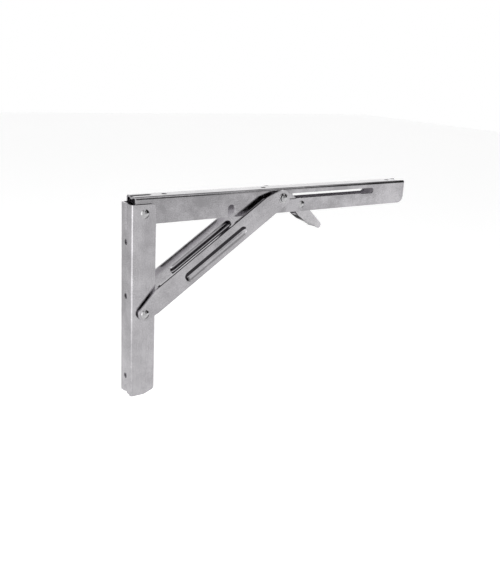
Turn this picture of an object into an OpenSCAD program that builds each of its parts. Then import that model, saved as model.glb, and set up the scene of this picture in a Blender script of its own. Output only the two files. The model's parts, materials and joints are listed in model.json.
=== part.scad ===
// Folding shelf bracket in folded sheet steel: a wall leg, an arm that folds down over it, a pair
// of strut plates and a sprung release lever. X runs from the wall along the arm, Y across the
// bracket and Z up. The origin is the centre of the outer wall holes, on the wall.

/* [Sheet] */
// Thickness of every folded sheet and plate
sheet = 2; // [1.6:0.1:2.4]
// Outer radius of the long bends
bend_r = 3; // [2.6:0.2:4]
// Width of the pressed grooves at the channel ends
groove_w = 7; // [5:0.2:8]
// Width of the grooves' flat floor
groove_floor_w = 2; // [1:0.2:3]
// Depth of the pressed grooves
groove_depth = 1.6; // [1:0.1:2]

/* [Wall leg] */
// Length of the wall leg
leg_len = 216.8; // [200:0.2:260]
// Width of the wall leg over its flanges
leg_w = 26.6; // [24:0.2:36]
// Depth of the wall leg from the wall to its flange edges
leg_d = 28.5; // [26:0.5:36]
// Corner radius of the flanges at the top
leg_top_r = 5; // [2:0.5:9]
// Length of the slanting cut at the foot of the flanges
leg_foot_run = 12.5; // [8:0.5:18]
// Height of the slanting cut at the foot of the flanges
leg_foot_rise = 4.5; // [2:0.5:7]
// Corner radius at the outer end of the slanting cut
leg_foot_r = 4; // [2:0.5:6]
// How far the back stops short of the flanges at the foot
leg_foot_step = 1; // [0:0.5:3]
// Length of the groove at the top of the back
leg_top_groove = 28; // [12:1:30]
// Length of the groove at the foot of the back
leg_foot_groove = 9; // [7:1:12]
// Bore of the wall screw holes
wall_hole_d = 6.5; // [4:0.5:8]
// Distance of the first wall hole from the top of the leg
wall_hole_top = 41.5; // [38:0.5:50]
// Distance from the first wall hole to the middle one
wall_hole_pitch = 60.5; // [50:0.5:70]
// Distance of the last wall hole from the foot of the leg
wall_hole_foot = 21.3; // [20:0.1:45]

/* [Pivots] */
// Diameter of the main and the strut pivot pins
pin_d = 6; // [5:0.1:6.6]
// Distance of the main pivot from the wall
pivot_x = 15.5; // [15.5:0.1:18]
// Distance of the main pivot below the top of the leg
pivot_drop = 10; // [8:0.5:16]
// Distance of the strut pivot from the wall
strut_pivot_x = 14.5; // [13:0.1:15.5]
// Distance of the strut pivot below the main pivot
strut_pivot_drop = 110; // [90:1:120]
// Diameter of the rivet heads on the two pivots
head_d = 10; // [8:0.2:12]
// Height of the rivet heads on the two pivots
head_h = 1.8; // [1:0.1:2.4]

/* [Arm] */
// Height of the shelf face above the main pivot
arm_top = 17.6; // [15:0.1:24]
// Depth of the arm flanges below the main pivot
arm_drop = 11.9; // [11:0.1:12.3]
// Length of the arm behind the main pivot
arm_heel = 9.8; // [8:0.1:11]
// Radius of the arm heel that turns inside the leg
heel_r = 12.5; // [12.4:0.1:12.8]
// Solid end of the arm beyond its slot
arm_tail = 55.5; // [30:0.5:90]
// Corner radius of the flanges at the outer end
arm_end_r = 9; // [3:0.5:12]
// Height of the slot
slot_h = 7; // [6:0.2:8]
// Height of the slot's middle line above the main pivot
slot_rise = 7; // [6:0.1:9]
// Length of the groove at the pivot end of the shelf face
arm_heel_groove = 24; // [10:1:26]
// How far the shelf face stops short of the flanges at the outer end
arm_end_notch = 9; // [4:0.5:12]
// Bore of the shelf screw holes
shelf_hole_d = 5.8; // [4:0.2:7]
// Distance of the first shelf hole from the main pivot
shelf_hole_first = 29.2; // [26:0.2:50]
// Distance of the middle shelf hole from the main pivot
shelf_hole_middle = 161; // [100:1:220]
// Distance of the last shelf hole from the outer end
shelf_hole_end = 22.5; // [18:0.5:40]

/* [Strut] */
// Distance of the strut plates' lower edge from the line of the pivots
strut_edge = 9.6; // [8:0.1:12]
// Distance of the strut plates' upper edge from the line of the pivots
strut_crown = 15.8; // [12:0.1:17]
// Length of the slanting cut at the foot of the plates
foot_run = 30; // [20:1:45]
// Length of the slanting cut at the head of the plates
head_run = 22.6; // [14:0.2:40]
// Distance from the strut pivot to the start of the pressed rib
rib_start = 65.5; // [50:0.5:80]
// Length of the pressed rib between the centres of its round ends
rib_len = 83; // [40:1:90]
// Height of the rib's middle line above the line of the pivots
rib_rise = 2.3; // [0:0.1:3]
// Width of the rib at the outer face
rib_w = 11; // [9:0.2:12]
// Width of the rib's flat floor
rib_floor_w = 4; // [2:0.2:6]
// Depth of the pressed rib
rib_depth = 2.3; // [1.2:0.1:3]

/* [Release lever] */
// Distance from the slot rivet to the lever's pin
lever_reach = 33.8; // [31:0.2:36]
// Distance of the lever's pin below the main pivot
lever_pin_drop = 3.6; // [3:0.1:4.4]
// Diameter of the lever's pin
lever_pin_d = 5; // [4:0.2:5.4]
// Diameter of the rivet heads on the lever's pin
lever_head_d = 8.8; // [7:0.2:9.4]
// Height of the rivet heads on the lever's pin
lever_head_h = 1.4; // [0.8:0.1:2]
// Radius of the lever's round boss
boss_r = 7; // [6:0.1:7.4]
// Radius of the round finger tip
tip_r = 3.8; // [3:0.1:4.4]
// Wire diameter of the lever's spring
wire_d = 1.2; // [0.8:0.1:1.4]
// Turns of the lever's spring
spring_turns = 4; // [3:1:5]

/* [Clearances] */
// Play between the arm and the leg on each side
arm_play = 0.4; // [0.3:0.1:1]
// Play of every pin in its bores, on the radius
pin_play = 0.05; // [0.02:0.01:0.1]
// Gap between flat faces that turn against each other
face_play = 0.1; // [0.05:0.05:0.3]
// Play of the slot rivets above and below in the slot
slot_play = 0.2; // [0.1:0.05:0.4]
// Gap between the slot bushes and the sheets on both sides of them
bush_play = 0.3; // [0.2:0.05:0.5]
// Gap between a folded rib and the leg
rib_play = 0.4; // [0.3:0.1:1]
// Play between the lever and the arm flanges on each side
lever_play = 0.6; // [0.5:0.1:0.8]
// Gap between the folded lever rivet and the foot of the leg
foot_play = 0.3; // [0.2:0.1:1]
// Gap between the lever's nose and the slot rivets
catch_play = 1; // [0.5:0.1:2]
// Room round the strut pivot pin in the arm's notch
notch_play = 1.65; // [1.4:0.05:2.5]
// Gap left over the strut pivot pin when the arm is folded
notch_seat = 0.5; // [0.3:0.1:1]
// Room for the slot rivets past their folded place
slot_spare = 3; // [1:0.5:6]

/* [Hidden] */
$fn = 48;

// Overshoot of cutting shapes past the faces they cut
past = 1;
// How far a straight edge runs inside the round end that it joins
blend = 0.02;
steel = [0.72, 0.72, 0.73];
bright = [0.82, 0.82, 0.83];

// Heights: the origin is halfway between the outer wall holes
wall_hole_span = leg_len - wall_hole_top - wall_hole_foot;
leg_top_z = wall_hole_top + wall_hole_span / 2;
leg_foot_z = leg_top_z - leg_len;
pivot_z = leg_top_z - pivot_drop;
strut_pivot_z = pivot_z - strut_pivot_drop;

// Half widths, from the leg inwards to the arm and the lever and outwards to the strut plates
leg_out = leg_w / 2;
arm_out = leg_out - sheet - arm_play;
arm_in = arm_out - sheet;
lever_out = arm_in - lever_play;
lever_in = lever_out - sheet;
strut_in = leg_out + rib_depth + rib_play;
strut_out = strut_in + sheet;
rivet_in = arm_in - bush_play;

// Places along the arm, from the main pivot
pin_r = pin_d / 2;
slot_rivet_r = slot_h / 2 - slot_play;
lever_pin_s = leg_len - pivot_drop + lever_head_d / 2 + foot_play;
slot_rivet_s = lever_pin_s - lever_reach;

// The strut joins its pivot on the leg to the slot rivets. Folded, the same length reaches from
// the pivot pin in the notch to the slot's outer end.
strut_dx = pivot_x + slot_rivet_s - strut_pivot_x;
strut_dz = strut_pivot_drop + slot_rise;
strut_len = norm([strut_dx, strut_dz]);
strut_angle = atan2(strut_dz, strut_dx);
folded_offset = slot_rise + pivot_x - strut_pivot_x;
folded_rivet_s = strut_pivot_drop + sqrt(pow(strut_len, 2) - pow(folded_offset, 2));
slot_end_s = folded_rivet_s + slot_spare;
arm_reach = slot_end_s + slot_h / 2 + arm_tail;
arm_h = arm_top + arm_drop;

// Notch in the arm flanges that the strut pivot pin enters when the arm folds
notch_r = pin_r + notch_play;
notch_rise = strut_pivot_x - pivot_x - (notch_play - notch_seat);

// Slot rivets, their washers and their bushes
washer_r = 5.9;
washer_t = 1.6;
slot_head_r = 4;
slot_head_h = 1.3;
bush_r = 5.4;
sleeve_r = 4.6;
spacer_r = 5.2;

// Lever outline, measured from its pin: nose, ramp, finger and the edge that clears the folded leg
nose_x = -(lever_reach - slot_rivet_r - catch_play);
nose_top = 15.6;
nose_low = 6.2;
nose_back = [-18, nose_top];
ramp_top = [-13.8, 13.3];
ramp_foot = [-3.4, 4.6];
belly_out = [-5.8, -9.1];
belly_mid = [-10, -4.6];
belly_in = [-15, -1.8];
tip_c = [31.9, -28.6];
edge_mid = [8.8, -21.4];
edge_out = [21.7, -27.2];
edge_in = [-1, -14.6];
finger_back = [16.7, -9.3];
pad_margin = 1.5;

// Spring: a coil on the lever's pin with one leg under the shelf face and one on the thumb pad
spring_play = 0.5;
coil_r = lever_pin_d / 2 + spring_play + wire_d / 2;
coil_gap = 0.1;
coil_pitch = wire_d + coil_gap;
spring_seat = 0.2;
leg_a_x = -12;
leg_a_end = [leg_a_x, arm_top - sheet + lever_pin_drop - wire_d / 2 - spring_seat];
pad_dir = (edge_out - edge_mid) / norm(edge_out - edge_mid);
pad_in = [-pad_dir[1], pad_dir[0]];
leg_b_end = (edge_mid + edge_out) / 2 + (sheet + wire_d / 2 + spring_seat) * pad_in;

// Point where a line from p meets the round end of radius r about c, a hair inside its tangent so
// that the flat and the round face cross cleanly; side is 1 or -1
function touch(p, c, r, side) =
    let (d = p - c, near = r - blend, a = atan2(d[1], d[0]) + side * acos(near / norm(d)))
    c + near * [cos(a), sin(a)];

// How much wider a pressing is on its inner face, on each side: the sheet keeps its thickness
function spread(w, floor_w, depth) = sheet * tan(atan2(depth, (w - floor_w) / 2) / 2);

// Cylinder along Y between two half widths or faces, at x and z
module across(x, z, r, y0, y1) {
    translate([x, y1, z]) rotate([90, 0, 0]) cylinder(r = r, h = y1 - y0);
}

// A side outline, drawn in x and z, made solid between two faces
module slab(y0, y1) {
    translate([0, y1, 0]) rotate([90, 0, 0]) linear_extrude(y1 - y0) children();
}

// Everything drawn on the near side, or the same on the far side
module on_side(far) {
    if (far) mirror([0, 1, 0]) children();
    else children();
}

// Solid U outline with a closed back at x = 0 and two round corners
module rounded_back(w, d, r) {
    translate([r, -w / 2]) square([d - r, w]);
    translate([0, r - w / 2]) square([r, w - 2 * r]);
    translate([r, r - w / 2]) circle(r);
    translate([r, w / 2 - r]) circle(r);
}

// Folded channel along Z, its back at x = 0
module channel(w, d, len) {
    linear_extrude(len) difference() {
        rounded_back(w, d, bend_r);
        translate([sheet, 0]) rounded_back(w - 2 * sheet, d, bend_r - sheet);
    }
}

// Oblong with sloping sides between y = 0 and y = h: half widths r0 and r1, along x
module slope_oblong(len, r0, r1, h) {
    rotate([-90, 0, 0]) cylinder(r1 = r0, r2 = r1, h = h);
    translate([len, 0, 0]) rotate([-90, 0, 0]) cylinder(r1 = r0, r2 = r1, h = h);
    rotate([90, 0, 90]) linear_extrude(len) polygon([[0, -r0], [0, r0], [h, r1], [h, -r1]]);
}

// Groove that starts past a channel's end and runs along x: its hollow, or its ridge if wider
module groove(len, wider) {
    translate([-past, 0, 0])
        slope_oblong(len + past - groove_w / 2, groove_w / 2 + wider, groove_floor_w / 2 + wider,
            groove_depth);
}

// Low domed rivet head that stands on the face at y = 0 and points to +Y
module dome(r, h) {
    ball = (r * r + h * h) / (2 * h);
    intersection() {
        translate([0, h - ball, 0]) sphere(ball, $fn = 96);
        across(0, 0, r, 0, h);
    }
}

// Rivet across the bracket: a shank between two faces with a dome on each end
module rivet(x, z, r, face, head_r, head_h) {
    across(x, z, r, -face, face);
    translate([x, face, z]) dome(head_r, head_h);
    translate([x, -face, z]) mirror([0, 1, 0]) dome(head_r, head_h);
}

// Ring across the bracket on the near side, between two half widths
module ring(x, z, r_out, r_in, in, out) {
    difference() {
        across(x, z, r_out, -out, -in);
        across(x, z, r_in, -out - past, past - in);
    }
}

// Flange outline of the leg in x and z: a slanting cut at the foot and round outer corners
module leg_outline() {
    slant = atan2(leg_foot_rise, leg_foot_run);
    cut_start = [leg_d - leg_foot_run, leg_foot_z];
    corner_z = (leg_foot_r + sin(slant) * (leg_foot_run - leg_foot_r)) / cos(slant);
    corner = [leg_d - leg_foot_r, leg_foot_z + corner_z];
    polygon([[0, leg_foot_z], cut_start, touch(cut_start, corner, leg_foot_r, 1), corner,
        [leg_d, corner[1]], [leg_d, leg_top_z - leg_top_r], [0, leg_top_z - leg_top_r]]);
    translate([0, leg_top_z - leg_top_r]) square([leg_d - leg_top_r, leg_top_r]);
    translate(corner) circle(leg_foot_r);
    translate([leg_d - leg_top_r, leg_top_z - leg_top_r]) circle(leg_top_r);
}

// The leg's two grooves, down from its top and up from its foot
module leg_grooves(x, wider) {
    translate([x, 0, leg_top_z]) rotate([180, 0, 0]) rotate([0, -90, -90])
        groove(leg_top_groove, wider);
    translate([x, 0, leg_foot_z + leg_foot_step]) rotate([0, -90, -90])
        groove(leg_foot_groove, wider);
}

module wall_hole(z) {
    translate([-past, 0, z]) rotate([0, 90, 0]) cylinder(d = wall_hole_d, h = sheet + 2 * past);
}

module wall_leg() {
    first_z = leg_top_z - wall_hole_top;
    back_flat = leg_w - 2 * bend_r;
    color(steel) difference() {
        intersection() {
            union() {
                translate([0, 0, leg_foot_z - past]) channel(leg_w, leg_d + past, leg_len + 2 * past);
                leg_grooves(sheet, spread(groove_w, groove_floor_w, groove_depth));
            }
            slab(-leg_w, leg_w) leg_outline();
        }
        leg_grooves(0, 0);
        wall_hole(first_z);
        wall_hole(first_z - wall_hole_pitch);
        wall_hole(first_z - wall_hole_span);
        translate([-past, -back_flat / 2, leg_foot_z - past])
            cube([sheet + groove_depth + 2 * past, back_flat, leg_foot_step + past]);
        across(pivot_x, pivot_z, pin_r + pin_play, -leg_w, leg_w);
        across(strut_pivot_x, strut_pivot_z, pin_r + pin_play, -leg_w, leg_w);
    }
}

// Flange outline of the arm, from the main pivot: the heel is round so that it turns in the leg
module arm_outline() {
    intersection() {
        union() {
            translate([-arm_heel, -arm_drop])
                square([arm_heel + arm_reach - arm_end_r, arm_h]);
            translate([0, arm_end_r - arm_drop]) square([arm_reach, arm_h - arm_end_r]);
            translate([arm_reach - arm_end_r, arm_end_r - arm_drop]) circle(arm_end_r);
        }
        union() {
            circle(heel_r, $fn = 96);
            translate([-arm_heel - past, 0]) square([arm_heel + arm_reach + 2 * past, arm_top + past]);
            translate([0, -arm_drop - past]) square([arm_reach + past, arm_drop + 2 * past]);
        }
    }
}

// The arm's groove along its shelf face, from the heel
module arm_groove(z, wider) {
    translate([-arm_heel, 0, z]) rotate([-90, 0, 0]) groove(arm_heel_groove, wider);
}

module shelf_hole(s) {
    translate([s, 0, arm_top - sheet - past]) cylinder(d = shelf_hole_d, h = sheet + 2 * past);
}

// Cuts in the arm, from the main pivot
module arm_cuts() {
    across(0, 0, pin_r + pin_play, -leg_w, leg_w);
    across(lever_pin_s, -lever_pin_drop, lever_pin_d / 2 + pin_play, -leg_w, leg_w);
    across(slot_rivet_s, slot_rise, slot_h / 2, -leg_w, leg_w);
    across(slot_end_s, slot_rise, slot_h / 2, -leg_w, leg_w);
    translate([slot_rivet_s, -leg_w, slot_rise - slot_h / 2])
        cube([slot_end_s - slot_rivet_s, 2 * leg_w, slot_h]);
    across(strut_pivot_drop, notch_rise, notch_r, -leg_w, leg_w);
    translate([strut_pivot_drop - notch_r, -leg_w, -arm_drop - past])
        cube([2 * notch_r, 2 * leg_w, arm_drop + notch_rise + past]);
    shelf_hole(shelf_hole_first);
    shelf_hole(shelf_hole_middle);
    shelf_hole(arm_reach - shelf_hole_end);
    arm_groove(arm_top, 0);
    translate([arm_reach - arm_end_notch, bend_r - arm_out, arm_top - sheet - past])
        cube([arm_end_notch + past, 2 * (arm_out - bend_r), sheet + 2 * past]);
}

module arm() {
    color(steel) translate([pivot_x, 0, pivot_z]) difference() {
        intersection() {
            union() {
                translate([-arm_heel - past, 0, arm_top]) rotate([0, 90, 0])
                    channel(2 * arm_out, arm_h + past, arm_heel + arm_reach + 2 * past);
                arm_groove(arm_top - sheet, spread(groove_w, groove_floor_w, groove_depth));
            }
            slab(-leg_w, leg_w) arm_outline();
        }
        arm_cuts();
    }
}

// Side outline of a strut plate, from the strut pivot along the line to the slot rivet
module strut_outline() {
    head = [strut_len, 0];
    foot_corner = [foot_run, strut_crown];
    head_corner = [strut_len - head_run, strut_crown];
    circle(strut_edge);
    translate(head) circle(strut_edge);
    polygon([foot_corner, head_corner, touch(head_corner, head, strut_edge, -1), head,
        [strut_len, -strut_edge], [0, -strut_edge], [0, 0],
        touch(foot_corner, [0, 0], strut_edge, 1)]);
}

// Near strut plate: a flat plate with an oblong rib pressed in from its outer face
module strut_plate() {
    wider = spread(rib_w, rib_floor_w, rib_depth);
    translate([strut_pivot_x, 0, strut_pivot_z]) rotate([0, -strut_angle, 0]) difference() {
        union() {
            slab(-strut_out, -strut_in) strut_outline();
            translate([rib_start, -strut_in, rib_rise])
                slope_oblong(rib_len, rib_w / 2 + wider, rib_floor_w / 2 + wider, rib_depth);
        }
        translate([rib_start, -strut_out, rib_rise])
            slope_oblong(rib_len, rib_w / 2, rib_floor_w / 2, rib_depth);
        across(0, 0, pin_r + pin_play, -leg_w, 0);
        across(strut_len, 0, pin_r + pin_play, -leg_w, 0);
    }
}

module strut_near() {
    color(steel) strut_plate();
}

module strut_far() {
    color(steel) mirror([0, 1, 0]) strut_plate();
}

module main_pivot_pin() {
    color(bright) rivet(pivot_x, pivot_z, pin_r, leg_out, head_d / 2, head_h);
}

// Sleeve that keeps the arm flanges apart on the main pivot
module main_pivot_sleeve() {
    half = arm_in - face_play;
    color(bright) ring(pivot_x, pivot_z, sleeve_r, pin_r + pin_play, -half, half);
}

module strut_pivot_pin() {
    color(bright)
        rivet(strut_pivot_x, strut_pivot_z, pin_r, strut_out + face_play, head_d / 2, head_h);
}

module strut_spacer(far) {
    color(bright) on_side(far)
        ring(strut_pivot_x, strut_pivot_z, spacer_r, pin_r + pin_play, leg_out, strut_in - face_play);
}

module strut_spacer_near() {
    strut_spacer(false);
}

module strut_spacer_far() {
    strut_spacer(true);
}

// Shoulder of a slot rivet: it runs in the slot and ends short of the strut plate
module slot_rivet(far) {
    color(bright) on_side(far) translate([pivot_x + slot_rivet_s, 0, pivot_z + slot_rise])
        across(0, 0, slot_rivet_r, bush_play - strut_in, -rivet_in);
}

module slot_rivet_near() {
    slot_rivet(false);
}

module slot_rivet_far() {
    slot_rivet(true);
}

module slot_bush(far) {
    color(bright) on_side(far) translate([pivot_x + slot_rivet_s, 0, pivot_z + slot_rise])
        ring(0, 0, bush_r, slot_rivet_r + pin_play, arm_out + bush_play, strut_in - bush_play);
}

module slot_bush_near() {
    slot_bush(false);
}

module slot_bush_far() {
    slot_bush(true);
}

module slot_washer(far) {
    color(bright) on_side(far) translate([pivot_x + slot_rivet_s, 0, pivot_z + slot_rise])
        ring(0, 0, washer_r, pin_r + pin_play, strut_out, strut_out + washer_t);
}

module slot_washer_near() {
    slot_washer(false);
}

module slot_washer_far() {
    slot_washer(true);
}

// Outer end of a slot rivet: its neck fills the plate's bore and its dome lies on the washer
module slot_head(far) {
    color(bright) on_side(far) translate([pivot_x + slot_rivet_s, 0, pivot_z + slot_rise]) {
        across(0, 0, pin_r, -strut_out - washer_t, -strut_in);
        translate([0, -strut_out - washer_t, 0]) mirror([0, 1, 0]) dome(slot_head_r, slot_head_h);
    }
}

module slot_head_near() {
    slot_head(false);
}

module slot_head_far() {
    slot_head(true);
}

// Outer form of the lever round its pin: nose to the left, finger to the lower right
module lever_form() {
    slab(-lever_out, lever_out) circle(boss_r);
    slab(-lever_out, lever_out) translate(tip_c) circle(tip_r);
    slab(-lever_out, lever_out)
        polygon([[nose_x, nose_low], [nose_x, nose_top], nose_back, ramp_top, ramp_foot,
            [0, 0], touch(finger_back, [0, 0], boss_r, 1), finger_back,
            touch(finger_back, tip_c, tip_r, -1), tip_c, touch(edge_out, tip_c, tip_r, 1),
            edge_out, edge_mid, edge_in, belly_out, belly_mid, belly_in]);
}

// Space between the lever's sides: all but the thumb pad along the finger's lower edge
module lever_hollow() {
    reach = 2 * lever_reach;
    outside = 3 * sheet * pad_in;
    inside = sheet * pad_in;
    tip_touch = touch(edge_out, tip_c, tip_r, 1);
    pad_end = tip_touch + pad_margin * (edge_out - tip_touch) / norm(edge_out - tip_touch);
    polygon([edge_in - outside, edge_in + inside, edge_mid + inside, edge_out + inside,
        pad_end + inside, pad_end - outside, [reach, -reach], [reach, reach], [-reach, reach],
        [-reach, -reach / 2]]);
}

module release_lever() {
    color(steel) translate([pivot_x + lever_pin_s, 0, pivot_z - lever_pin_drop]) difference() {
        lever_form();
        slab(-lever_in, lever_in) lever_hollow();
        across(0, 0, lever_pin_d / 2 + pin_play, -leg_w, leg_w);
    }
}

module lever_pin() {
    color(bright) rivet(pivot_x + lever_pin_s, pivot_z - lever_pin_drop, lever_pin_d / 2,
        arm_out, lever_head_d / 2, lever_head_h);
}

// Wire sweep: each ring is [x, z, y, turn], where turn is the direction of the ring in x and z
module wire(rings, r) {
    sides = 8;
    count = len(rings);
    function dot(q, k) = let (a = 360 * k / sides) [q[0] + r * cos(a) * cos(q[3]),
        q[2] + r * sin(a), q[1] + r * cos(a) * sin(q[3])];
    points = [for (q = rings) for (k = [0:sides - 1]) dot(q, k)];
    walls = [for (i = [0:count - 2]) for (k = [0:sides - 1])
        let (a = i * sides + k, b = i * sides + (k + 1) % sides) each
        [[a, b, a + sides], [b, b + sides, a + sides]]];
    start = [[for (k = [0:sides - 1]) sides - 1 - k]];
    end = [[for (k = [0:sides - 1]) (count - 1) * sides + k]];
    polyhedron(points, concat(walls, start, end));
}

module lever_spring() {
    steps = 20;
    t_a = touch(leg_a_end, [0, 0], coil_r, 1);
    t_b = touch(leg_b_end, [0, 0], coil_r, -1);
    start_a = atan2(t_a[1], t_a[0]);
    lap = (atan2(t_b[1], t_b[0]) - start_a + 720) % 360;
    sweep = 360 * spring_turns + lap;
    half = coil_pitch * sweep / 720;
    count = ceil(steps * sweep / 360);
    rings = concat([[leg_a_end[0], leg_a_end[1], -half, start_a]],
        [for (i = [0:count]) let (a = start_a + sweep * i / count)
            [coil_r * cos(a), coil_r * sin(a), half * (2 * i / count - 1), a]],
        [[leg_b_end[0], leg_b_end[1], half, start_a + sweep]]);
    color(bright) translate([pivot_x + lever_pin_s, 0, pivot_z - lever_pin_drop])
        wire(rings, wire_d / 2);
}

wall_leg();
arm();
strut_near();
strut_far();
main_pivot_pin();
main_pivot_sleeve();
strut_pivot_pin();
strut_spacer_near();
strut_spacer_far();
slot_rivet_near();
slot_rivet_far();
slot_bush_near();
slot_bush_far();
slot_washer_near();
slot_washer_far();
slot_head_near();
slot_head_far();
release_lever();
lever_pin();
lever_spring();
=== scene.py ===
"""Looks of a folding shelf bracket in polished sheet steel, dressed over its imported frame."""
import json
import math

import bpy
import numpy as np
from mathutils import Matrix, Vector


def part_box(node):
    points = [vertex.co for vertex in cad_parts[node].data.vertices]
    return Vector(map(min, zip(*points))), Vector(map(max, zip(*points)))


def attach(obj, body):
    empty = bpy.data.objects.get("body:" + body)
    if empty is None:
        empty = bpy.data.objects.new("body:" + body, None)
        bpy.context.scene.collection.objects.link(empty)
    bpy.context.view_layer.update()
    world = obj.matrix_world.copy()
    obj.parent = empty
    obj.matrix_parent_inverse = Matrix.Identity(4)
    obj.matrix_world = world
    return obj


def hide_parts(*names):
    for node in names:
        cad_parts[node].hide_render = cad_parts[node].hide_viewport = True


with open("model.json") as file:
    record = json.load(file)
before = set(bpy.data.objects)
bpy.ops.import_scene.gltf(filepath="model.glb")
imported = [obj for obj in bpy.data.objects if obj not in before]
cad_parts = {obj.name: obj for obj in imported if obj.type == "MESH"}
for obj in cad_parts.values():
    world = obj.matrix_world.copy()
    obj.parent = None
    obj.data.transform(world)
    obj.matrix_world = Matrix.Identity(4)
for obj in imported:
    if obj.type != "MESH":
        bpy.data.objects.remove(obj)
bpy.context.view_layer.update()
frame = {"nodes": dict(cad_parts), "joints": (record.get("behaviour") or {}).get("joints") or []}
nodes = frame["nodes"]
joints = {joint["name"]: joint for joint in frame["joints"]}

MM = 0.001

# Places taken from the frame
MAIN_PIVOT = Vector(joints["arm_fold"]["pos_m"])
STRUT_PIVOT = Vector(joints["strut_swing"]["pos_m"])
head_low, head_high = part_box("slot_head_near")
SLOT_PIN = Vector(((head_low.x + head_high.x) / 2, 0.0, (head_low.z + head_high.z) / 2))
ARM_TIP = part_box("arm")[1].x
STRUT_LINE = (SLOT_PIN - STRUT_PIVOT).normalized()
STRUT_TILT = math.atan2(STRUT_LINE.z, STRUT_LINE.x)

# Sheet, and how its cut edges are joined, shaded and rounded
SHEET = 2.0 * MM
EDGE_ROUND = 0.28 * MM
RIVET_ROUND = 0.15 * MM
PLATE_ROUND = 0.4 * MM
EDGE_SEGMENTS = 2
PLATE_SEGMENTS = 3
SHARP = math.radians(30.0)
PLATE_SHARP = math.radians(50.0)
FLAT = math.radians(0.3)
JOIN_REACH = 0.002 * MM

# Strut plate, in millimetres along the strut from its foot pivot and square to it; STRUT_FACE is
# its outer face's distance from the middle plane
STRUT_LENGTH = (SLOT_PIN - STRUT_PIVOT).length / MM
STRUT_EDGE = 9.6
STRUT_CROWN = 15.8
FOOT_CORNER = 30.0
HEAD_CORNER = STRUT_LENGTH - 22.6
FOOT_END = 7.7
FOOT_TAPER = 14.0
STRUT_FACE = 18.0
RIB_FROM, RIB_TO = 65.5, 148.5
RIB_RISE = 0.5
RIB_HALF = 5.3
RIB_DEPTH = 2.2
RIB_RIM = 0.5

# Grid of a strut plate: fine round both ends of the rib and across it
BOW_START = 0.08
RIB_OUT = 8.0
RIB_IN = 6.0
RIB_SIDE = 7.0
BOW_STEPS = 12
FOOT_STEPS = 24
RIB_END_STEPS = 56
MIDDLE_STEPS = 22
HEAD_STEPS = 22
LOW_STEPS = 4
RIB_STEPS = 90
CROWN_STEPS = 6

# Turned pieces on the slot's pin: radius and reach from the middle plane, in millimetres
HEAD_WIDE = 4.3
TURN_STEPS = 64
WASHER_LINE = ((3.05, 18.0), (5.9, 18.0), (5.9, 18.55), (5.83, 18.72), (5.65, 18.8),
               (3.05, 18.8))
HEAD_LINE = ((0.0, 16.0), (3.0, 16.0), (3.0, 18.8), (HEAD_WIDE, 18.8), (HEAD_WIDE, 20.1),
             (4.22, 20.3), (4.0, 20.42), (3.3, 20.62), (2.4, 20.8), (1.3, 20.94), (0.6, 20.98),
             (0.0, 21.0))

# Polished surface: noise scales per metre, and how far each noise moves the tone
LINE_STRETCH = 0.05
FINE_LINES = 5200.0
COARSE_LINES = 1100.0
GRAIN = 900.0
CLOUDS = 38.0
SPECKLE_MIDDLE = 0.75
SPECKLE_GAIN = 1.9
CLOUD_GAIN = 2.2
TONE_SPAN = 0.20
CLOUD_ROUGHNESS = 0.12
LINE_STRENGTH = 0.03
LINE_HEIGHT = 0.2 * MM

# Painted shade and reflection on the strut ribs' slopes and arris and the side of the slot pin's
# head: shares of the normal along a direction, as low, high and soft edge
PAINTED_SHADE_COLOUR = (0.034, 0.032, 0.036, 1.0)
PAINTED_BELOW = (0.05, 0.80, 0.06)
PAINTED_ABOVE = (-0.42, -0.03, 0.05)
PAINTED_ABOVE_SHARE = 0.8
FACES_IN = (0.3, 0.5)
FACES_OUT = (-0.2, -0.4)
ARRIS_LINE = 1.3 * MM
ARRIS_SOFT = 0.1 * MM
RING_START = (HEAD_WIDE - 0.12) * MM
RING_FULL = (HEAD_WIDE - 0.02) * MM

# Colours of the steels, and the turns that lay their polishing lines along each piece
LEG_COLOUR = (0.545, 0.532, 0.552)
# The arm's colour is darker than the leg's as painted shade.
ARM_SHADED_COLOUR = (0.477, 0.466, 0.484)
STRUT_COLOUR = (0.525, 0.513, 0.532)
LEVER_COLOUR = (0.56, 0.548, 0.566)
RIVET_COLOUR = (0.55, 0.545, 0.555)
WIRE_COLOUR = (0.42, 0.415, 0.42)
UPRIGHT = (0.0, math.pi / 2, 0.0)
ALONG_STRUT = (0.0, STRUT_TILT, 0.0)
ALONG_LEVER = (0.0, -0.7, 0.0)
DOWN_FROM_STRUT = (math.sin(STRUT_TILT), 0.0, -math.cos(STRUT_TILT))

# Camera: the photograph's viewing angle, found by fitting the bracket's own points
VIEW_AZIMUTH = -35.607
VIEW_PITCH = 16.825
VIEW_ROLL = 3.161
VIEW_PLACE = Vector((-333.422, -695.837, 268.159)) * MM
FOCAL_PIXELS = 736.457
FRAME_HEIGHT = 567
SENSOR = 36.0
CLIP_NEAR, CLIP_FAR = 0.01, 50.0

# Floor and lamp, in metres and watts
FLOOR_HALF = 6.0
FLOOR_GAP = 8.0 * MM
FLOOR_GREY = (0.9, 0.9, 0.9, 1.0)
FLOOR_ROUGHNESS = 0.9
FLOOR_LIFT = 0.46
LAMP_PLACE = Vector((-0.5, -0.5, 1.2))
LAMP_AIM = Vector((0.1, 0.0, 0.0))
LAMP_WIDTH = 0.7
LAMP_POWER = 12.0
WHITE = (1.0, 1.0, 1.0, 1.0)

# Soft studio round the bracket: the light that each part of it sends, 1 being white
GROUND_NEAR, GROUND_FAR = 0.88, 0.74
GROUND_HEIGHTS = (-27.0, -6.0)
WALLS = 0.80
BACKDROP = 1.12
CEILING = 0.22
WINDOW = 0.85
SIDE_FRONT = 1.02
DARK_FRONT = 0.015
RIM_SHADE = 0.42
SIDE_BACK = 0.65
SOFTBOX = 1.75
DARK_TABLE = 0.05
ONWARDS = 200

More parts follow.
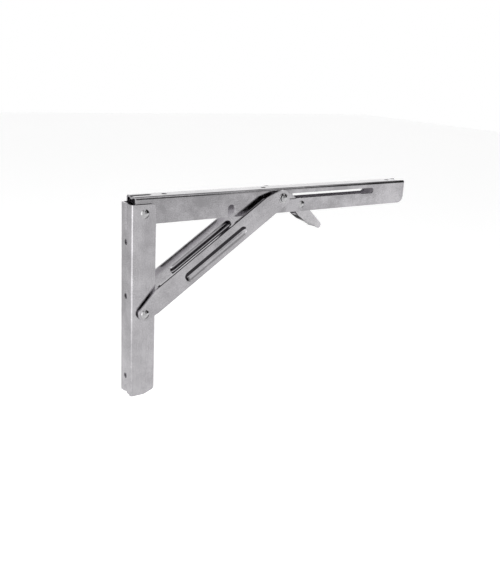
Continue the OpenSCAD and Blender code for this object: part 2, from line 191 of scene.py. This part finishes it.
# Its zones, each over the ones before it: the light, then what bounds it, from, to and soft edge.
# In degrees, azimuth turns from +X towards +Y, height is above the horizon, and over turns from +Y
# upwards in the plane across the arm; along is the direction's share in +X. ONWARDS sets no end.
STUDIO = (
    (WALLS, (("height", 2, ONWARDS, 8),)),
    (BACKDROP, (("height", -20, 44, 8), ("azimuth", 15, 95, 20))),
    (CEILING, (("height", 52, ONWARDS, 8),)),
    (CEILING, (("over", 30, 88, 10), ("along", 0.1, ONWARDS, 0.3))),
    (WINDOW, (("over", 88, 132, 8), ("along", 0.1, ONWARDS, 0.3))),
    (SIDE_FRONT, (("height", -30, 8, 8), ("azimuth", -50, -18, 10))),
    (DARK_FRONT, (("height", -3, 23, 6), ("azimuth", -68, -55, 5))),
    (DARK_FRONT, (("height", -3, 46, 5), ("azimuth", -48, 4, 4))),
    (RIM_SHADE, (("height", 31, 50, 6), ("azimuth", -120, -80, 8))),
    (DARK_FRONT, (("height", 20, 40, 6), ("azimuth", -70, -54, 5))),
    (SIDE_BACK, (("height", -21, 4, 7), ("azimuth", 98, 150, 10))),
    (SOFTBOX, (("height", -21, 40, 6), ("azimuth", -168, -120, 8))),
    (DARK_TABLE, (("height", -66, -25, 8), ("azimuth", -14, 84, 8))))


def new_group(name, inputs, outputs):
    """A shader node group with named float (f) and vector (v) inputs and float outputs."""
    kinds = {"f": "NodeSocketFloat", "v": "NodeSocketVector"}
    group = bpy.data.node_groups.new(name, "ShaderNodeTree")
    for label, kind in inputs:
        group.interface.new_socket(label, in_out="INPUT", socket_type=kinds[kind])
    for label in outputs:
        group.interface.new_socket(label, in_out="OUTPUT", socket_type=kinds["f"])
    source = group.nodes.new("NodeGroupInput")
    sink = group.nodes.new("NodeGroupOutput")
    return group, source, sink


def math_node(tree, operation, a, b=None, clamp=False):
    """A Math node fed by sockets or plain numbers; returns its output."""
    made = tree.nodes.new("ShaderNodeMath")
    made.operation = operation
    made.use_clamp = clamp
    for place, value in enumerate((a, b)):
        if value is None:
            continue
        if isinstance(value, (int, float)):
            made.inputs[place].default_value = value
        else:
            tree.links.new(value, made.inputs[place])
    return made.outputs[0]


def vector_node(tree, operation, a, b=None):
    """A Vector Math node fed by one or two sockets."""
    made = tree.nodes.new("ShaderNodeVectorMath")
    made.operation = operation
    tree.links.new(a, made.inputs[0])
    if b is not None:
        tree.links.new(b, made.inputs[1])
    return made


def noise_node(tree, vector, scale, detail, roughness=0.55):
    """A noise texture's factor over the given coordinates."""
    made = tree.nodes.new("ShaderNodeTexNoise")
    made.inputs["Scale"].default_value = scale
    made.inputs["Detail"].default_value = detail
    made.inputs["Roughness"].default_value = roughness
    tree.links.new(vector, made.inputs["Vector"])
    return made.outputs["Fac"]


def map_node(tree, value, low, high, start=0.0, end=1.0, kind="LINEAR"):
    """value mapped from low..high to start..end and held there."""
    made = tree.nodes.new("ShaderNodeMapRange")
    made.interpolation_type = kind
    made.inputs["From Min"].default_value = low
    made.inputs["From Max"].default_value = high
    made.inputs["To Min"].default_value = start
    made.inputs["To Max"].default_value = end
    tree.links.new(value, made.inputs["Value"])
    return made.outputs["Result"]


def soft_zone(tree, value, low, high, edge):
    """1 where value lies between low and high, falling smoothly to 0 over edge on both sides."""
    half = edge / 2
    rise = map_node(tree, value, low - half, low + half, kind="SMOOTHSTEP")
    fall = map_node(tree, value, high - half, high + half, 1.0, 0.0, kind="SMOOTHSTEP")
    return math_node(tree, "MULTIPLY", rise, fall)


def blend_to(tree, current, target, mask):
    """current moved to the number target where mask is 1."""
    step = math_node(tree, "SUBTRACT", target, current)
    return math_node(tree, "ADD", current, math_node(tree, "MULTIPLY", step, mask))


def build_polish_group():
    """Polished sheet: fine lines along the piece's own X, soft clouds, and small grains.

    Height is the lines times Line Depth, and Cloud the cloud noise about 0 times Cloud Depth.
    Speckle is half the lines plus the grain, about 0. Shade is one half plus speckle and Cloud,
    each times its gain, held between 0 and 1.
    """
    group, source, sink = new_group(
        "polish_lines", (("Vector", "v"), ("Line Depth", "f"), ("Cloud Depth", "f")),
        ("Height", "Shade", "Cloud"))
    stretch = group.nodes.new("ShaderNodeMapping")
    stretch.inputs["Scale"].default_value = (LINE_STRETCH, 1.0, 1.0)
    group.links.new(source.outputs["Vector"], stretch.inputs["Vector"])
    fine = noise_node(group, stretch.outputs["Vector"], FINE_LINES, detail=2.0)
    coarse = noise_node(group, stretch.outputs["Vector"], COARSE_LINES, detail=3.0)
    grain = noise_node(group, source.outputs["Vector"], GRAIN, detail=2.0, roughness=0.7)
    cloud = noise_node(group, source.outputs["Vector"], CLOUDS, detail=4.0, roughness=0.6)
    lines = math_node(group, "ADD", math_node(group, "MULTIPLY", fine, 0.5),
                      math_node(group, "MULTIPLY", coarse, 0.5))
    height = math_node(group, "MULTIPLY", lines, source.outputs["Line Depth"])
    soft = math_node(group, "MULTIPLY", math_node(group, "SUBTRACT", cloud, 0.5),
                     source.outputs["Cloud Depth"])
    specks = math_node(group, "ADD", math_node(group, "MULTIPLY", lines, 0.5), grain)
    speckle = math_node(group, "SUBTRACT", specks, SPECKLE_MIDDLE)
    mixed = math_node(group, "ADD", math_node(group, "MULTIPLY", speckle, SPECKLE_GAIN),
                      math_node(group, "MULTIPLY", soft, CLOUD_GAIN))
    shade = math_node(group, "ADD", mixed, 0.5, clamp=True)
    group.links.new(height, sink.inputs["Height"])
    group.links.new(shade, sink.inputs["Shade"])
    group.links.new(soft, sink.inputs["Cloud"])
    return group


def build_painted_shade_group():
    """Painted shade and reflection: a dark mask on slopes that look Down (painted shade), on
    gentle inner slopes that look up (painted reflection of the facing plate), and along the
    outside's upper arris (a painted shade line).

    The slopes are zones of the dot product of the normal with Down, and Inside is the inner
    face's normal. The arris is the strip that ends at Crown, a height above Foot against Down.
    """
    group, source, sink = new_group(
        "slope_painted_shade", (("Normal", "v"), ("Vector", "v"), ("Down", "v"), ("Inside", "v"),
                       ("Foot", "v"), ("Crown", "f")), ("Mask",))
    normal = source.outputs["Normal"]
    down = source.outputs["Down"]
    slope = vector_node(group, "DOT_PRODUCT", normal, down).outputs["Value"]
    inwards = vector_node(group, "DOT_PRODUCT", normal, source.outputs["Inside"]).outputs["Value"]
    inner_share = math_node(group, "MULTIPLY", map_node(group, inwards, *FACES_IN),
                            PAINTED_ABOVE_SHARE)
    below = soft_zone(group, slope, *PAINTED_BELOW)
    above = math_node(group, "MULTIPLY", soft_zone(group, slope, *PAINTED_ABOVE), inner_share)
    from_foot = vector_node(group, "SUBTRACT", source.outputs["Vector"], source.outputs["Foot"])
    drop = vector_node(group, "DOT_PRODUCT", from_foot.outputs["Vector"], down).outputs["Value"]
    under_crown = math_node(group, "ADD", drop, source.outputs["Crown"])
    arris = math_node(group, "MULTIPLY",
                      map_node(group, under_crown, ARRIS_LINE, ARRIS_LINE - ARRIS_SOFT),
                      map_node(group, inwards, *FACES_OUT))
    slopes = math_node(group, "ADD", below, above, clamp=True)
    group.links.new(math_node(group, "ADD", slopes, arris, clamp=True), sink.inputs["Mask"])
    return group


def build_ring_shade_group():
    """Painted shade on the side of a riveted end: 1 from its radius outwards, about an axis along
    Y.
    """
    group, source, sink = new_group("ring_painted_shade", (("Vector", "v"), ("Centre", "v")), ("Mask",))
    offset = vector_node(group, "SUBTRACT", source.outputs["Vector"], source.outputs["Centre"])
    across = vector_node(group, "MULTIPLY", offset.outputs["Vector"])
    across.inputs[1].default_value = (1.0, 0.0, 1.0)
    reach = vector_node(group, "LENGTH", across.outputs["Vector"]).outputs["Value"]
    group.links.new(map_node(group, reach, RING_START, RING_FULL), sink.inputs["Mask"])
    return group


POLISH = build_polish_group()
PAINTED_SHADE_GROUP = build_painted_shade_group()
RING_SHADE_GROUP = build_ring_shade_group()


def group_node(tree, group, settings):
    """A group placed in a material, with its own values on its sockets."""
    made = tree.nodes.new("ShaderNodeGroup")
    made.node_tree = group
    for label, value in settings.items():
        made.inputs[label].default_value = value
    return made


def colour_mix(tree, factor):
    """A colour Mix node driven by factor."""
    made = tree.nodes.new("ShaderNodeMix")
    made.data_type = "RGBA"
    tree.links.new(factor, made.inputs["Factor"])
    return made


def rib_painted_shade(inside):
    """Painted shade and reflection of the pressed rib on a strut plate whose inner face looks
    along inside.
    """
    def make(tree, coords):
        shade_node = group_node(tree, PAINTED_SHADE_GROUP, {
            "Down": DOWN_FROM_STRUT, "Inside": (0.0, inside, 0.0), "Foot": tuple(STRUT_PIVOT),
            "Crown": STRUT_CROWN * MM})
        tree.links.new(coords.outputs["Normal"], shade_node.inputs["Normal"])
        tree.links.new(coords.outputs["Object"], shade_node.inputs["Vector"])
        return shade_node.outputs["Mask"]
    return make


def side_painted_shade(tree, coords):
    """Painted shade on the side of the riveted end of the slot's pin."""
    shade_node = group_node(tree, RING_SHADE_GROUP, {"Centre": tuple(SLOT_PIN)})
    tree.links.new(coords.outputs["Object"], shade_node.inputs["Vector"])
    return shade_node.outputs["Mask"]


def steel_material(name, colour, rough, turn=(0.0, 0.0, 0.0), line_depth=1.0, cloud=1.0,
                   painted_shade_mask=None):
    """Polished steel: metal with polishing lines in bump, tone and roughness.

    The mask argument makes the mask where the tone is darkened as painted shade and reflection.
    """
    mat = bpy.data.materials.new(name)
    mat.use_nodes = True
    tree = mat.node_tree
    shader = tree.nodes["Principled BSDF"]
    shader.inputs["Metallic"].default_value = 1.0
    coords = tree.nodes.new("ShaderNodeTexCoord")
    place = tree.nodes.new("ShaderNodeMapping")
    place.inputs["Rotation"].default_value = turn
    tree.links.new(coords.outputs["Object"], place.inputs["Vector"])
    polish = group_node(tree, POLISH, {"Line Depth": line_depth, "Cloud Depth": cloud})
    tree.links.new(place.outputs["Vector"], polish.inputs["Vector"])
    tone = colour_mix(tree, polish.outputs["Shade"])
    tone.inputs["A"].default_value = tuple(c * (1.0 - TONE_SPAN) for c in colour) + (1.0,)
    tone.inputs["B"].default_value = tuple(c * (1.0 + TONE_SPAN) for c in colour) + (1.0,)
    surface = tone.outputs["Result"]
    if painted_shade_mask is not None:
        # Painted shade and reflection: under the mask the tone is taken to a dark colour.
        shaded = colour_mix(tree, painted_shade_mask(tree, coords))
        shaded.inputs["B"].default_value = PAINTED_SHADE_COLOUR
        tree.links.new(surface, shaded.inputs["A"])
        surface = shaded.outputs["Result"]
    tree.links.new(surface, shader.inputs["Base Color"])
    cloudy = math_node(tree, "MULTIPLY", polish.outputs["Cloud"], CLOUD_ROUGHNESS)
    tree.links.new(math_node(tree, "ADD", cloudy, rough, clamp=True), shader.inputs["Roughness"])
    relief = tree.nodes.new("ShaderNodeBump")
    relief.inputs["Strength"].default_value = LINE_STRENGTH
    relief.inputs["Distance"].default_value = LINE_HEIGHT
    tree.links.new(polish.outputs["Height"], relief.inputs["Height"])
    tree.links.new(relief.outputs["Normal"], shader.inputs["Normal"])
    return mat


MAT_LEG = steel_material("leg_steel", LEG_COLOUR, rough=0.17, turn=UPRIGHT)
# The arm's darker colour is painted shade.
MAT_ARM = steel_material("arm_steel", ARM_SHADED_COLOUR, rough=0.15, cloud=1.6)
# The strut plates get painted shade and reflection on their ribs and upper arris.
MAT_STRUT_NEAR = steel_material("strut_steel_near", STRUT_COLOUR, rough=0.14, turn=ALONG_STRUT,
                                painted_shade_mask=rib_painted_shade(1.0))
MAT_STRUT_FAR = steel_material("strut_steel_far", STRUT_COLOUR, rough=0.14, turn=ALONG_STRUT,
                               painted_shade_mask=rib_painted_shade(-1.0))
MAT_LEVER = steel_material("lever_steel", LEVER_COLOUR, rough=0.17, turn=ALONG_LEVER)
MAT_RIVET = steel_material("rivet_steel", RIVET_COLOUR, rough=0.08, line_depth=0.4, cloud=0.4)
# The riveted heads get painted shade on their sides.
MAT_HEAD = steel_material("head_steel", RIVET_COLOUR, rough=0.08, line_depth=0.4, cloud=0.4,
                          painted_shade_mask=side_painted_shade)
MAT_WIRE = steel_material("spring_wire", WIRE_COLOUR, rough=0.28, line_depth=0.3)


def build_shading_modifier():
    """Geometry nodes that join a mesh's doubles and shade it smooth except at sharp edges.

    A CAD mesh's own normals are dropped first, because they belong to its loose triangles.
    """
    tree = bpy.data.node_groups.new("join_and_shade", "GeometryNodeTree")
    tree.interface.new_socket("Geometry", in_out="INPUT", socket_type="NodeSocketGeometry")
    tree.interface.new_socket("Geometry", in_out="OUTPUT", socket_type="NodeSocketGeometry")
    start = tree.nodes.new("NodeGroupInput")
    end = tree.nodes.new("NodeGroupOutput")
    merge = tree.nodes.new("GeometryNodeMergeByDistance")
    merge.inputs["Distance"].default_value = JOIN_REACH
    clear = tree.nodes.new("GeometryNodeRemoveAttribute")
    clear.inputs["Name"].default_value = "custom_normal"
    soft = tree.nodes.new("GeometryNodeSetShadeSmooth")
    soft.domain = "FACE"
    hard = tree.nodes.new("GeometryNodeSetShadeSmooth")
    hard.domain = "EDGE"
    hard.inputs["Shade Smooth"].default_value = False
    angle = tree.nodes.new("GeometryNodeInputMeshEdgeAngle")
    compare = tree.nodes.new("FunctionNodeCompare")
    compare.operation = "GREATER_THAN"
    compare.inputs["B"].default_value = SHARP
    tree.links.new(start.outputs[0], merge.inputs["Geometry"])
    tree.links.new(merge.outputs[0], clear.inputs["Geometry"])
    tree.links.new(clear.outputs[0], soft.inputs["Geometry"])
    tree.links.new(soft.outputs[0], hard.inputs["Geometry"])
    tree.links.new(angle.outputs["Unsigned Angle"], compare.inputs["A"])
    tree.links.new(compare.outputs["Result"], hard.inputs["Selection"])
    tree.links.new(hard.outputs[0], end.inputs[0])
    return tree


SHADING = build_shading_modifier()


def join_and_shade(piece):
    """Adds the modifier that joins doubles and sets the shading."""
    joined = piece.modifiers.new("joined", "NODES")
    joined.node_group = SHADING


def round_edges(piece, width, segments, angle):
    """Adds the modifier that rounds the edges sharper than angle."""
    bevel = piece.modifiers.new("broken_edges", "BEVEL")
    bevel.limit_method = "ANGLE"
    bevel.angle_limit = angle
    bevel.width = width
    bevel.segments = segments
    bevel.harden_normals = True


def dress(node, material, edge=EDGE_ROUND):
    """Gives a CAD node its material, joined shading and small rounded edges."""
    piece = nodes[node]
    for slot in piece.material_slots:
        slot.material = material
    join_and_shade(piece)
    if edge:
        flat = piece.modifiers.new("flat_faces", "DECIMATE")
        flat.decimate_type = "DISSOLVE"
        flat.angle_limit = FLAT
        flat.delimit = {"NORMAL"}
        round_edges(piece, edge, EDGE_SEGMENTS, SHARP)


def mesh_piece(name, points, faces, material, node):
    """A new piece from arrays of points and faces, shaded smooth, that rides on the struts."""
    mesh = bpy.data.meshes.new(name)
    mesh.from_pydata(points.tolist(), [], faces)
    mesh.polygons.foreach_set("use_smooth", np.ones(len(mesh.polygons), bool))
    mesh.update()
    mesh.materials.append(material)
    piece = bpy.data.objects.new(name, mesh)
    bpy.context.scene.collection.objects.link(piece)
    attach(piece, "struts")
    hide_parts(node)
    return piece


def grid_faces(rows, columns, wrap):
    """Quads over a rows by columns grid of points; wrap joins the last column to the first."""
    r, c = np.meshgrid(np.arange(rows - 1), np.arange(columns if wrap else columns - 1),
                       indexing="ij")
    after = (c + 1) % columns
    quads = np.stack([r * columns + c, r * columns + after, (r + 1) * columns + after,
                      (r + 1) * columns + c], axis=-1)
    return quads.reshape(-1, 4)


def fan_faces(pole, first, second):
    """Triangles from the point pole to the edges between two runs of points."""
    return np.stack([np.full(len(first), pole), first, second], axis=-1)


def outward_faces(side, *parts):
    """Face arrays as one list; on the near side each face is turned round to point outwards."""
    faces = []
    for part in parts:
        faces += (part if side > 0 else part[:, ::-1]).tolist()
    return faces


def pressed(away, half, depth, rim):
    """A parabola of that depth over half, rounded into the flat where it is within rim of it."""
    bowl = depth * (1.0 - (away / half) ** 2)
    lead = np.maximum(rim - np.abs(bowl), 0.0)
    return np.maximum(bowl, 0.0) + lead ** 2 / (4.0 * rim)


def touch_point(corner, centre, turn, radius):
    """Where the line from corner touches the end circle about (centre, 0), on the turned side."""
    away = np.array([corner[0] - centre, corner[1]])
    lean = math.acos(radius / np.hypot(*away))
    angle = math.atan2(away[1], away[0]) + turn * lean
    return centre + radius * math.cos(angle), radius * math.sin(angle)


FOOT_TOUCH = touch_point((FOOT_CORNER, STRUT_CROWN), 0.0, 1, FOOT_END)
HEAD_TOUCH = touch_point((HEAD_CORNER, STRUT_CROWN), STRUT_LENGTH, -1, STRUT_EDGE)


def end_arc(past, radius):
    """Half width of a round end: the root of its radius squared less the square of past."""
    return np.sqrt(np.maximum(radius ** 2 - past ** 2, 0.0))


def strut_upper_line(along):
    """Upper edge: end arcs, tangents up to the two corners, and the crown between them."""
    straight = np.interp(along, [FOOT_TOUCH[0], FOOT_CORNER, HEAD_CORNER, HEAD_TOUCH[0]],
                         [FOOT_TOUCH[1], STRUT_CROWN, STRUT_CROWN, HEAD_TOUCH[1]])
    head_arc = end_arc(along - STRUT_LENGTH, STRUT_EDGE)
    to_head = np.where(along > HEAD_TOUCH[0], head_arc, straight)
    return np.where(along < FOOT_TOUCH[0], end_arc(along, FOOT_END), to_head)


def strut_lower_line(along):
    """Lower edge: end arcs, and a straight edge that draws in a little towards the foot."""
    straight = -np.interp(along, [0.0, FOOT_TAPER], [FOOT_END, STRUT_EDGE])
    head_arc = -end_arc(along - STRUT_LENGTH, STRUT_EDGE)
    to_head = np.where(along > STRUT_LENGTH, head_arc, straight)
    return np.where(along < 0.0, -end_arc(along, FOOT_END), to_head)


def plate_grid():
    """Places along a strut plate in millimetres, and shares of its width from the lower edge."""
    bow = np.cos(np.linspace(BOW_START, math.pi / 2, BOW_STEPS))
    along = np.concatenate([
        -FOOT_END * bow,
        STRUT_LENGTH + STRUT_EDGE * bow,
        [FOOT_TOUCH[0], HEAD_TOUCH[0], FOOT_CORNER, HEAD_CORNER, FOOT_TAPER],
        np.linspace(0.0, RIB_FROM - RIB_OUT, FOOT_STEPS),
        np.linspace(RIB_FROM - RIB_OUT, RIB_FROM + RIB_IN, RIB_END_STEPS),
        np.linspace(RIB_FROM + RIB_IN, RIB_TO - RIB_IN, MIDDLE_STEPS),
        np.linspace(RIB_TO - RIB_IN, RIB_TO + RIB_OUT, RIB_END_STEPS),
        np.linspace(RIB_TO + RIB_OUT, STRUT_LENGTH, HEAD_STEPS)])
    rise = np.concatenate([
        np.linspace(-STRUT_EDGE, RIB_RISE - RIB_SIDE, LOW_STEPS),
        np.linspace(RIB_RISE - RIB_SIDE, RIB_RISE + RIB_SIDE, RIB_STEPS),
        np.linspace(RIB_RISE + RIB_SIDE, STRUT_CROWN, CROWN_STEPS)])
    share = (np.unique(rise) + STRUT_EDGE) / (STRUT_EDGE + STRUT_CROWN)
    return np.unique(np.round(along, 3)), share


def strut_plate(name, side, node, material):
    """Strut plate: a flat sheet whose depth is the pressed bowl over the distance from a spine.

    The grid runs along the strut and from its lower edge to its upper one; the two round ends
    close in a point, and a solidify modifier gives the sheet its 2 mm.
    """
    along, share = plate_grid()
    rows, columns = len(along), len(share)
    low = strut_lower_line(along)
    high = strut_upper_line(along)
    length = np.repeat(along[:, None], columns, axis=1)
    across = low[:, None] + (high - low)[:, None] * share[None, :]
    ends = np.array([[-FOOT_END, 0.0], [STRUT_LENGTH + STRUT_EDGE, 0.0]])
    flat = np.concatenate([np.stack([length, across], axis=-1).reshape(-1, 2), ends])
    spine = np.clip(flat[:, 0], RIB_FROM, RIB_TO)
    away = np.hypot(flat[:, 0] - spine, flat[:, 1] - RIB_RISE)
    depth = pressed(away, RIB_HALF, RIB_DEPTH, RIB_RIM)
    cosine, sine = math.cos(STRUT_TILT), math.sin(STRUT_TILT)
    points = np.stack([STRUT_PIVOT.x + MM * (flat[:, 0] * cosine - flat[:, 1] * sine),
                       side * MM * (STRUT_FACE - depth),
                       STRUT_PIVOT.z + MM * (flat[:, 0] * sine + flat[:, 1] * cosine)], axis=-1)
    edge = np.arange(columns - 1)
    last = (rows - 1) * columns
    foot_pole = rows * columns
    faces = outward_faces(side, grid_faces(rows, columns, False),
                          fan_faces(foot_pole, edge + 1, edge),
                          fan_faces(foot_pole + 1, last + edge, last + edge + 1))
    piece = mesh_piece(name, points, faces, material, node)
    wall = piece.modifiers.new("sheet", "SOLIDIFY")
    wall.thickness = SHEET
    wall.offset = -1.0
    wall.use_even_offset = True
    join_and_shade(piece)
    round_edges(piece, PLATE_ROUND, PLATE_SEGMENTS, PLATE_SHARP)


def turned_piece(name, side, node, profile, material):
    """A closed profile of radius and reach in millimetres, turned about the slot's pin.

    A profile that starts and ends at radius 0 closes on the axis in a pole at each end.
    """
    profile = np.array(profile) * MM
    on_axis = profile[0, 0] == 0.0
    ring = profile[1:-1] if on_axis else np.concatenate([profile, profile[:1]])
    turn = np.linspace(0.0, 2.0 * math.pi, TURN_STEPS, endpoint=False)
    points = np.stack([SLOT_PIN.x + ring[:, :1] * np.cos(turn)[None, :],
                       side * np.repeat(ring[:, 1:], TURN_STEPS, axis=1),
                       SLOT_PIN.z + ring[:, :1] * np.sin(turn)[None, :]], axis=-1)
    points = points.reshape(-1, 3)
    parts = [grid_faces(len(ring), TURN_STEPS, True)]
    if on_axis:
        edge = np.arange(TURN_STEPS)
        after = (edge + 1) % TURN_STEPS
        last = (len(ring) - 1) * TURN_STEPS
        parts.append(fan_faces(len(points), after, edge))
        parts.append(fan_faces(len(points) + 1, last + edge, last + after))
        poles = np.array([[SLOT_PIN.x, side * profile[0, 1], SLOT_PIN.z],
                          [SLOT_PIN.x, side * profile[-1, 1], SLOT_PIN.z]])
        points = np.concatenate([points, poles])
    faces = outward_faces(side, *parts)
    join_and_shade(mesh_piece(name, points, faces, material, node))


strut_plate("strut_plate_near", -1, "strut_near", MAT_STRUT_NEAR)
strut_plate("strut_plate_far", 1, "strut_far", MAT_STRUT_FAR)
turned_piece("thin_washer_near", -1, "slot_washer_near", WASHER_LINE, MAT_RIVET)
turned_piece("thin_washer_far", 1, "slot_washer_far", WASHER_LINE, MAT_RIVET)
turned_piece("riveted_head_near", -1, "slot_head_near", HEAD_LINE, MAT_HEAD)
turned_piece("riveted_head_far", 1, "slot_head_far", HEAD_LINE, MAT_HEAD)
dress("wall_leg", MAT_LEG)
dress("arm", MAT_ARM)
dress("release_lever", MAT_LEVER)
for part in ("main_pivot_pin", "main_pivot_sleeve", "strut_pivot_pin", "strut_spacer_near",
             "strut_spacer_far", "slot_rivet_near", "slot_rivet_far", "slot_bush_near",
             "slot_bush_far", "lever_pin"):
    dress(part, MAT_RIVET, edge=RIVET_ROUND)
dress("lever_spring", MAT_WIRE, edge=0.0)


def add_camera():
    """Camera with its axes from azimuth, pitch and roll in degrees.

    Its sensor spans the longer side of the frame, which is the height.
    """
    azimuth, pitch, roll = (math.radians(a) for a in (VIEW_AZIMUTH, VIEW_PITCH, VIEW_ROLL))
    back = Vector((math.sin(azimuth) * math.cos(pitch), -math.cos(azimuth) * math.cos(pitch),
                   math.sin(pitch)))
    right = Vector((math.cos(azimuth), math.sin(azimuth), 0.0))
    up = back.cross(right)
    rolled_right = right * math.cos(roll) + up * math.sin(roll)
    rolled_up = up * math.cos(roll) - right * math.sin(roll)
    data = bpy.data.cameras.new("camera")
    data.sensor_width = SENSOR
    data.lens = FOCAL_PIXELS * SENSOR / FRAME_HEIGHT
    data.clip_start = CLIP_NEAR
    data.clip_end = CLIP_FAR
    camera = bpy.data.objects.new("camera", data)
    camera.matrix_world = (Matrix.Translation(VIEW_PLACE)
                           @ Matrix((rolled_right, rolled_up, back)).transposed().to_4x4())
    bpy.context.scene.collection.objects.link(camera)
    bpy.context.scene.camera = camera


def add_floor():
    """Plain pale floor below the tip of the folded arm, lifted towards white for the camera."""
    mat = bpy.data.materials.new("floor_white")
    mat.use_nodes = True
    tree = mat.node_tree
    shader = tree.nodes["Principled BSDF"]
    shader.inputs["Base Color"].default_value = FLOOR_GREY
    shader.inputs["Roughness"].default_value = FLOOR_ROUGHNESS
    shader.inputs["Specular IOR Level"].default_value = 0.0
    lift = tree.nodes.new("ShaderNodeEmission")
    path = tree.nodes.new("ShaderNodeLightPath")
    tree.links.new(math_node(tree, "MULTIPLY", path.outputs["Is Camera Ray"], FLOOR_LIFT),
                   lift.inputs["Strength"])
    both = tree.nodes.new("ShaderNodeAddShader")
    tree.links.new(shader.outputs[0], both.inputs[0])
    tree.links.new(lift.outputs[0], both.inputs[1])
    tree.links.new(both.outputs[0], tree.nodes["Material Output"].inputs["Surface"])
    mesh = bpy.data.meshes.new("floor")
    half = FLOOR_HALF
    level = MAIN_PIVOT.z - (ARM_TIP - MAIN_PIVOT.x) - FLOOR_GAP
    mesh.from_pydata([(-half, -half, level), (half, -half, level), (half, half, level),
                      (-half, half, level)], [], [(0, 1, 2, 3)])
    mesh.materials.append(mat)
    floor = bpy.data.objects.new("floor", mesh)
    bpy.context.scene.collection.objects.link(floor)
    floor.visible_glossy = False


def add_lamp():
    """A square soft lamp above the bracket; metal mirrors the studio and not the lamp."""
    data = bpy.data.lights.new("lamp_top", "AREA")
    data.size = LAMP_WIDTH
    data.energy = LAMP_POWER
    lamp = bpy.data.objects.new("lamp_top", data)
    lamp.location = LAMP_PLACE
    lamp.rotation_euler = (LAMP_AIM - LAMP_PLACE).to_track_quat("-Z", "Y").to_euler()
    lamp.visible_camera = False
    lamp.visible_glossy = False
    bpy.context.scene.collection.objects.link(lamp)


def add_world():
    """White to the camera; to the metal a studio with a softbox, a backdrop and a dark ceiling."""
    world = bpy.data.worlds.new("surroundings")
    bpy.context.scene.world = world
    world.use_nodes = True
    tree = world.node_tree
    coords = tree.nodes.new("ShaderNodeTexCoord")
    parts = tree.nodes.new("ShaderNodeSeparateXYZ")
    tree.links.new(coords.outputs["Generated"], parts.inputs[0])
    x, y, z = (parts.outputs[k] for k in range(3))
    degrees = math.degrees(1.0)
    measures = {
        "height": math_node(tree, "MULTIPLY", math_node(tree, "ARCSINE", z), degrees),
        "azimuth": math_node(tree, "MULTIPLY", math_node(tree, "ARCTAN2", y, x), degrees),
        "over": math_node(tree, "MULTIPLY", math_node(tree, "ARCTAN2", z, y), degrees),
        "along": x}

    level = map_node(tree, measures["height"], *GROUND_HEIGHTS, GROUND_NEAR, GROUND_FAR,
                     kind="SMOOTHSTEP")
    for light, bounds in STUDIO:
        mask = None
        for measure, low, high, edge in bounds:
            zone = soft_zone(tree, measures[measure], low, high, edge)
            mask = zone if mask is None else math_node(tree, "MULTIPLY", mask, zone)
        level = blend_to(tree, level, light, mask)

    studio = tree.nodes["Background"]
    studio.inputs["Color"].default_value = WHITE
    tree.links.new(level, studio.inputs["Strength"])
    page = tree.nodes.new("ShaderNodeBackground")
    page.inputs["Color"].default_value = WHITE
    path = tree.nodes.new("ShaderNodeLightPath")
    pick = tree.nodes.new("ShaderNodeMixShader")
    tree.links.new(path.outputs["Is Camera Ray"], pick.inputs["Fac"])
    tree.links.new(studio.outputs[0], pick.inputs[1])
    tree.links.new(page.outputs[0], pick.inputs[2])
    tree.links.new(pick.outputs[0], tree.nodes["World Output"].inputs["Surface"])


add_camera()
add_floor()
add_lamp()
add_world()
bpy.context.scene.view_settings.view_transform = "Standard"
